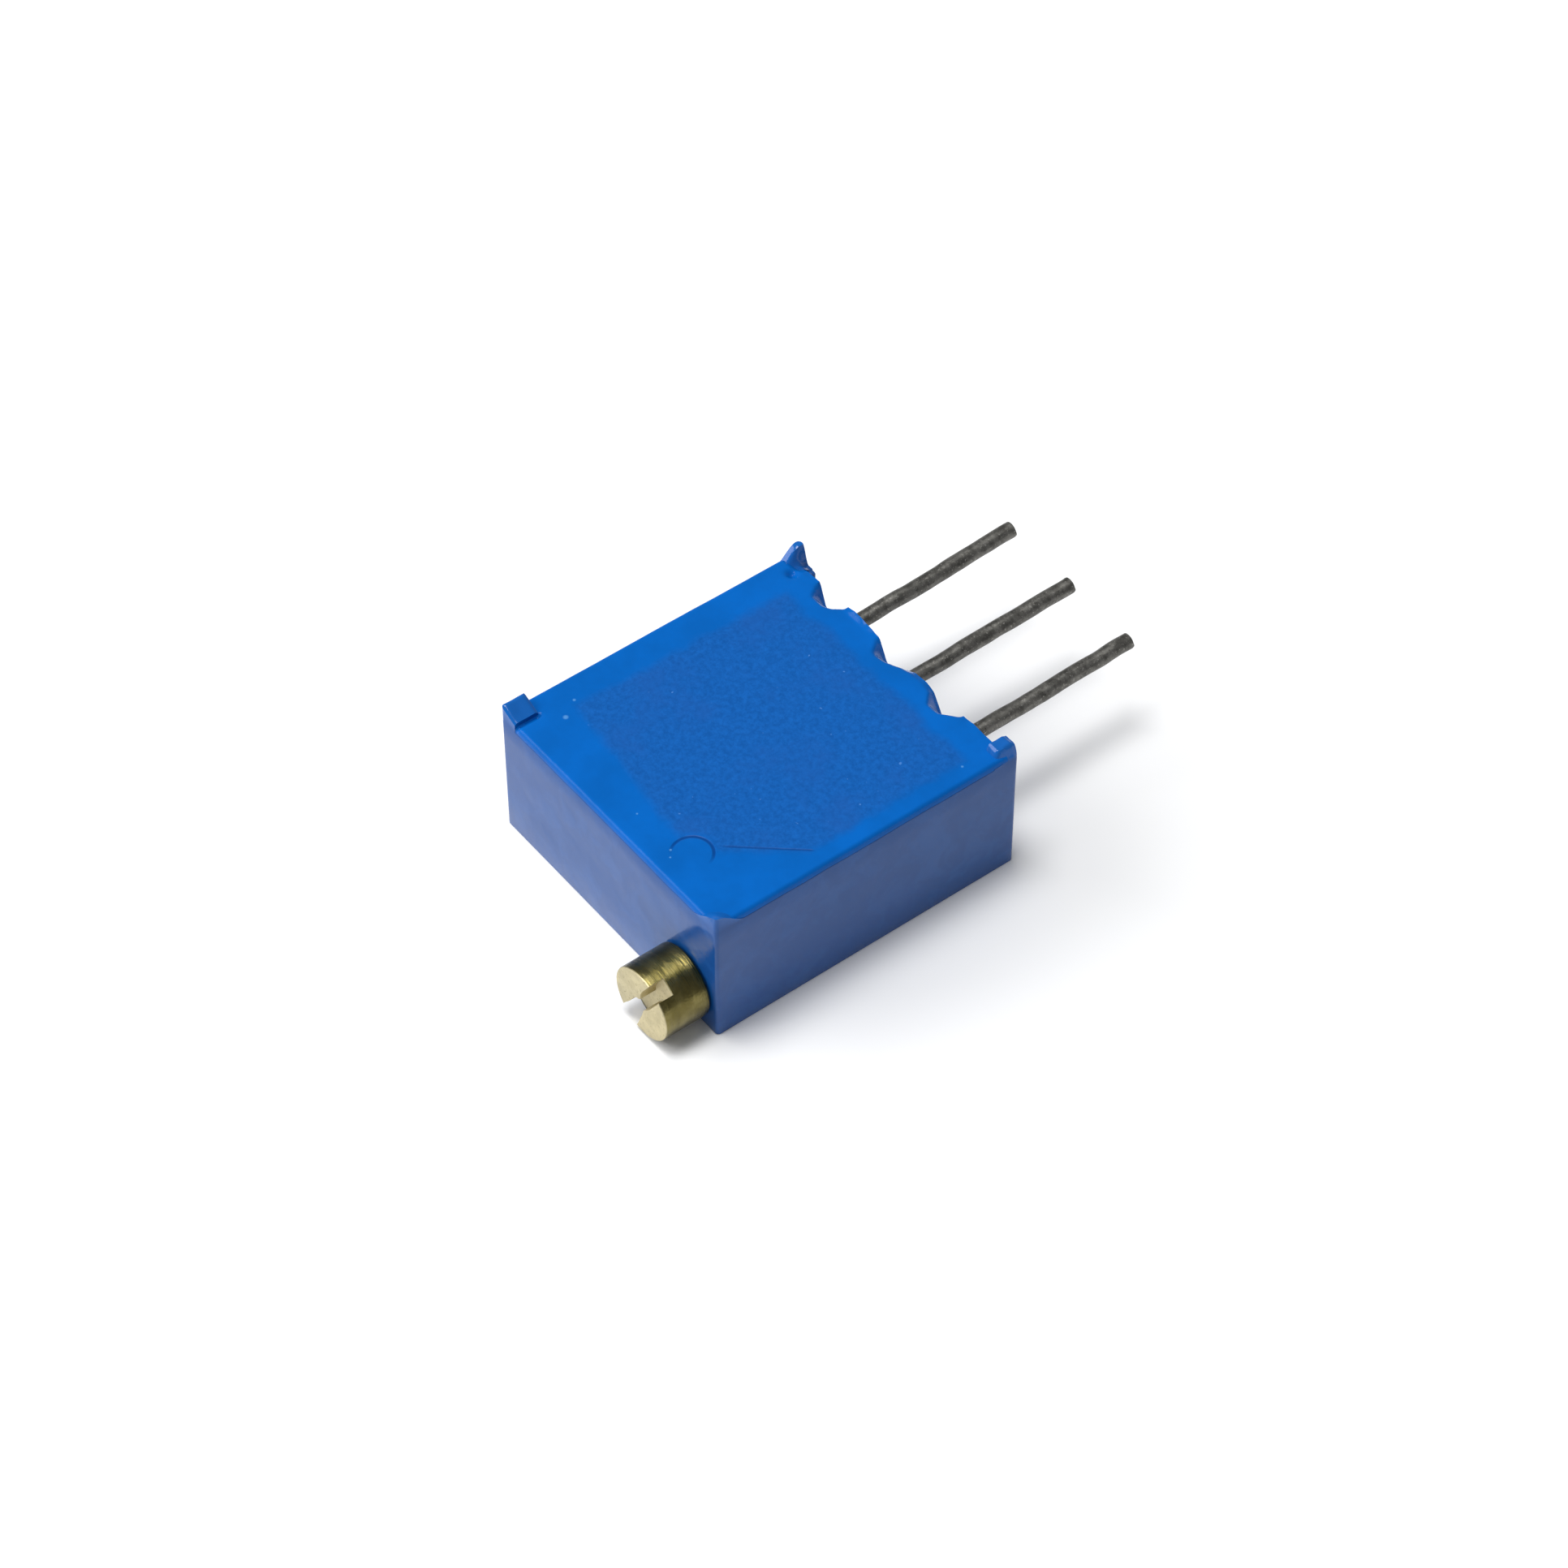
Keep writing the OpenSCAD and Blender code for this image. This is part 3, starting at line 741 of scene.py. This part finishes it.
HEAD_R = 1.11
HEAD_Y0, HEAD_Y1 = -6.56, -5.10
DRIVE_ANGLE = math.radians(58)
DRIVE_DEPTH = 0.5
JOURNAL_R = 0.8
RING_GROOVE_Y0, RING_GROOVE_Y1, RING_GROOVE_R = -4.55, -4.15, 0.5
CLIP_GROOVE_Y0, CLIP_GROOVE_Y1, CLIP_GROOVE_R = -3.41, -3.13, 0.45
CORE_R, PIVOT_R = 0.42, 0.37
WORM_R, WORM_THROW, WORM_PITCH = 0.62, 0.18, 0.628
WORM_Y0, WORM_Y1 = -1.1, 2.1


def turned_brass():
    """Brass with fine rings from the tool on its sides, and a paler, duller end and slot."""
    finish = Finish("turned brass")
    across = finish.node("ShaderNodeSeparateXYZ", {}, {"Vector": finish.place()}, "Y")
    tool_mark = finish.node("ShaderNodeTexNoise", {"noise_dimensions": "1D"},
                            {"W": across * 75.0, "Scale": 1.0, "Detail": 1.0, "Roughness": 0.5})
    tarnish = finish.noise(0.45, 4, 0.6)
    pit = finish.noise(0.07, 2, 0.6)
    end_face = finish.attribute("end_face")
    colour = finish.blend(tarnish.step(0.35, 0.7), tone(0.135, 0.112, 0.036),
                          tone(0.21, 0.178, 0.066))
    colour = finish.blend(pit.step(0.62, 0.75) * 0.5, colour, tone(0.11, 0.09, 0.035))
    worn = finish.blend(tarnish.step(0.3, 0.75), tone(0.52, 0.46, 0.29), tone(0.66, 0.59, 0.38))
    worn = finish.blend(pit.step(0.60, 0.72) * 0.6, worn, tone(0.30, 0.25, 0.13))
    colour = finish.blend(end_face, colour, worn)
    roughness = 0.17 + 0.10 * tarnish + 0.08 * (tool_mark - 0.5) + 0.34 * end_face
    relief = finish.bump(tool_mark, 0.006)
    relief = finish.bump(pit, 0.004, under=relief)
    return finish.surface(Base_Color=colour, Metallic=1.0, Roughness=roughness, Normal=relief)


def screw_rings():
    """Circles along the screw as (y, radius, distance off the axis, angle), for the worm's throw."""
    bevel = 0.05
    plain = [(HEAD_Y0, HEAD_R - bevel), (HEAD_Y0 + 0.3 * bevel, HEAD_R - 0.3 * bevel),
             (HEAD_Y0 + bevel, HEAD_R)]
    plain += [(y, HEAD_R) for y in spread(HEAD_Y0 + 0.2, HEAD_Y1 - 0.2, 0.15)]
    plain += [(HEAD_Y1 - bevel, HEAD_R), (HEAD_Y1 - 0.3 * bevel, HEAD_R - 0.3 * bevel),
              (HEAD_Y1, HEAD_R - bevel), (HEAD_Y1, JOURNAL_R)]
    for y0, y1, groove_r in [(RING_GROOVE_Y0, RING_GROOVE_Y1, RING_GROOVE_R),
                             (CLIP_GROOVE_Y0, CLIP_GROOVE_Y1, CLIP_GROOVE_R)]:
        plain += [(y0, JOURNAL_R), (y0, groove_r), (y1, groove_r), (y1, JOURNAL_R)]
    plain += [(-3.0, JOURNAL_R), (-2.8, CORE_R), (WORM_Y0 - 0.12, CORE_R)]
    rings = [(y, r, 0.0, 0.0) for y, r in plain]
    for y in spread(WORM_Y0, WORM_Y1, WORM_PITCH / 24):
        turn = 2 * math.pi * (y - WORM_Y0) / WORM_PITCH
        rings.append((y, WORM_R, WORM_THROW, turn))
    rings += [(y, r, 0.0, 0.0) for y, r in [(WORM_Y1 + 0.12, CORE_R), (3.4, CORE_R), (3.4, PIVOT_R),
                                            (4.0, PIVOT_R), (4.05, PIVOT_R - 0.05)]]
    return rings


def screw_form():
    """The screw before its slot is cut."""
    count = 96
    angles = [2 * math.pi * i / count for i in range(count)]
    rings = []
    for y, radius, throw, turn in screw_rings():
        middle_x = SCREW_X + throw * math.cos(turn)
        middle_z = SCREW_Z - throw * math.sin(turn)
        rings.append([(middle_x + radius * math.cos(a), y, middle_z + radius * math.sin(a))
                      for a in angles])
    return closed_stack(rings)


def drive_section(reach):
    """Across the screwdriver slot at that distance along it: flared at one end, pinched by burrs."""
    half_w, above = 0.25, 0.3
    ragged = 0.02 * wavering(reach, 4.4, size=0.3)
    low = half_w + 0.11 * ease(-reach, 0.25, 1.0) + ragged
    low -= 0.07 * math.exp(-((reach + 0.02) / 0.18) ** 2)
    high = half_w + 0.05 * ease(-reach, 0.5, 1.0) - ragged
    high -= 0.13 * math.exp(-((reach - 0.16) / 0.15) ** 2)
    corners = [(-low, -above), (high, -above), (high, DRIVE_DEPTH), (-low, DRIVE_DEPTH)]
    along_x, along_z = math.cos(DRIVE_ANGLE), math.sin(DRIVE_ANGLE)
    return [(SCREW_X + reach * along_x - side * along_z, HEAD_Y0 + depth,
             SCREW_Z + reach * along_z + side * along_x) for side, depth in corners]


def end_share(x, y, z):
    """1 on the end face and in the slot, 0 on the turned sides."""
    in_slot = math.hypot(x - SCREW_X, z - SCREW_Z) < HEAD_R - 0.06 and y < HEAD_Y0 + 0.8
    return 1.0 if in_slot or y < HEAD_Y0 + 0.03 else 0.0


brass = turned_brass()
screw = add_piece("slotted_screw", *screw_form(), brass, 30)
drive = closed_stack([drive_section(reach) for reach in spread(-1.3, 1.3, 0.08)])
combine(screw, add_piece("cutter", *drive, brass), "DIFFERENCE")
end_bevel = screw.modifiers.new("bevel", "BEVEL")
end_bevel.width = 0.018 * MM
end_bevel.segments = 2
end_bevel.limit_method = "ANGLE"
end_bevel.angle_limit = math.radians(50)
settle(screw)
soften(screw, 40)
paint(screw, "end_face", end_share)
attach(screw, "screw")
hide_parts("adjusting_screw")


# ---- Seal ring and clip -------------------------------------------------------------------------
# A rubber ring in the screw's outer groove keeps flux and wash water out. A flat U of sheet steel
# straddles the inner groove, pressed into a slot in the housing, so that the screw can't be pulled out.

def ring_rubber():
    finish = Finish("ring rubber")
    bloom = finish.noise(0.4, 4, 0.6)
    grain = finish.noise(0.04, 2, 0.5)
    colour = finish.blend(bloom, tone(0.012, 0.012, 0.013), tone(0.035, 0.035, 0.034))
    return finish.surface(Base_Color=colour, Roughness=0.45 + 0.2 * bloom,
                          Normal=finish.bump(grain, 0.003))


def rolled_steel():
    finish = Finish("rolled steel")
    rolling = finish.noise(0.04, 3, 0.6, scale=(1, 1, 0.05))
    stain = finish.noise(0.5, 3, 0.6)
    colour = finish.blend(stain, tone(0.36, 0.35, 0.34), tone(0.52, 0.52, 0.51))
    return finish.surface(Base_Color=colour, Metallic=1.0, Roughness=0.25 + 0.25 * rolling,
                          Normal=finish.bump(rolling, 0.003))


dress(["o_ring"], ring_rubber())
dress(["retaining_clip"], rolled_steel())


# ---- Worm wheel and wiper -----------------------------------------------------------------------
# A moulded wheel of off-white plastic turns on a post in the housing. The sprung wiper is stamped
# from thin copper alloy and held on two pegs of the wheel.

def wheel_plastic():
    finish = Finish("wheel plastic")
    flow = finish.noise(1.2, 3, 0.5, distortion=0.8)
    grain = finish.noise(0.08, 2, 0.5)
    colour = finish.blend(flow, tone(0.62, 0.60, 0.54), tone(0.76, 0.75, 0.71))
    return finish.surface(Base_Color=colour, Roughness=0.42 + 0.15 * flow,
                          Normal=finish.bump(grain, 0.003))


def spring_alloy():
    finish = Finish("spring alloy")
    rolling = finish.noise(0.03, 3, 0.6, scale=(1, 0.05, 1))
    heat = finish.noise(0.6, 3, 0.5)
    colour = finish.blend(heat, tone(0.55, 0.36, 0.16), tone(0.72, 0.54, 0.30))
    return finish.surface(Base_Color=colour, Metallic=1.0, Roughness=0.2 + 0.2 * rolling,
                          Normal=finish.bump(rolling, 0.002))


dress(["worm_wheel"], wheel_plastic())
dress(["wiper_spring"], spring_alloy())


# ---- Floor, lights and camera -------------------------------------------------------------------
# A plain white table under soft light, with the camera above the corner beside the screw. Places and
# sizes of the lights and the table are in metres.

def white_floor():
    finish = Finish("white floor")
    return finish.surface(Base_Color=tone(0.93, 0.93, 0.93), Roughness=0.9)


half = 2
floor_mesh = bpy.data.meshes.new("floor")
floor_mesh.from_pydata([(-half, -half, 0), (half, -half, 0), (half, half, 0), (-half, half, 0)], [],
                       [(0, 1, 2, 3)])
floor = bpy.data.objects.new("floor", floor_mesh)
floor.data.materials.append(white_floor())
bpy.context.scene.collection.objects.link(floor)

world = bpy.data.worlds.new("studio")
world.use_nodes = True
world.node_tree.nodes["Background"].inputs["Color"].default_value = tone(0.95, 0.97, 1.0)
world.node_tree.nodes["Background"].inputs["Strength"].default_value = 0.31
bpy.context.scene.world = world


def aimed(where, target):
    """A rotation that looks level from one point to another."""
    return (Vector(target) - Vector(where)).to_track_quat("-Z", "Y")


def soft_light(name, where, size, power):
    """A square light of that size in metres, aimed at the part."""
    data = bpy.data.lights.new(name, "AREA")
    data.size = size
    data.energy = power
    light = bpy.data.objects.new(name, data)
    light.location = where
    light.rotation_mode = "QUATERNION"
    light.rotation_quaternion = aimed(where, (0, 0, 0))
    bpy.context.scene.collection.objects.link(light)


soft_light("overhead", (-0.05, -0.06, 0.44), 0.17, 1.35)
soft_light("front", (-0.25, -0.29, 0.235), 0.30, 1.42)

TARGET = Vector((-0.14, 0.95, 1.53)) * MM
AZIMUTH, ELEVATION, DISTANCE = math.radians(52.35), math.radians(48.32), 132.35 * MM
camera = bpy.data.objects.new("camera", bpy.data.cameras.new("camera"))
camera.data.sensor_width = 36
camera.data.lens = 111.80124
camera.data.clip_start = 0.005
camera.data.clip_end = 10
camera.location = TARGET + DISTANCE * Vector((math.sin(AZIMUTH) * math.cos(ELEVATION),
                                              -math.cos(AZIMUTH) * math.cos(ELEVATION),
                                              math.sin(ELEVATION)))
camera.rotation_mode = "QUATERNION"
camera.rotation_quaternion = aimed(camera.location, TARGET)
bpy.context.scene.collection.objects.link(camera)
bpy.context.scene.camera = camera
bpy.context.scene.view_settings.view_transform = "Standard"
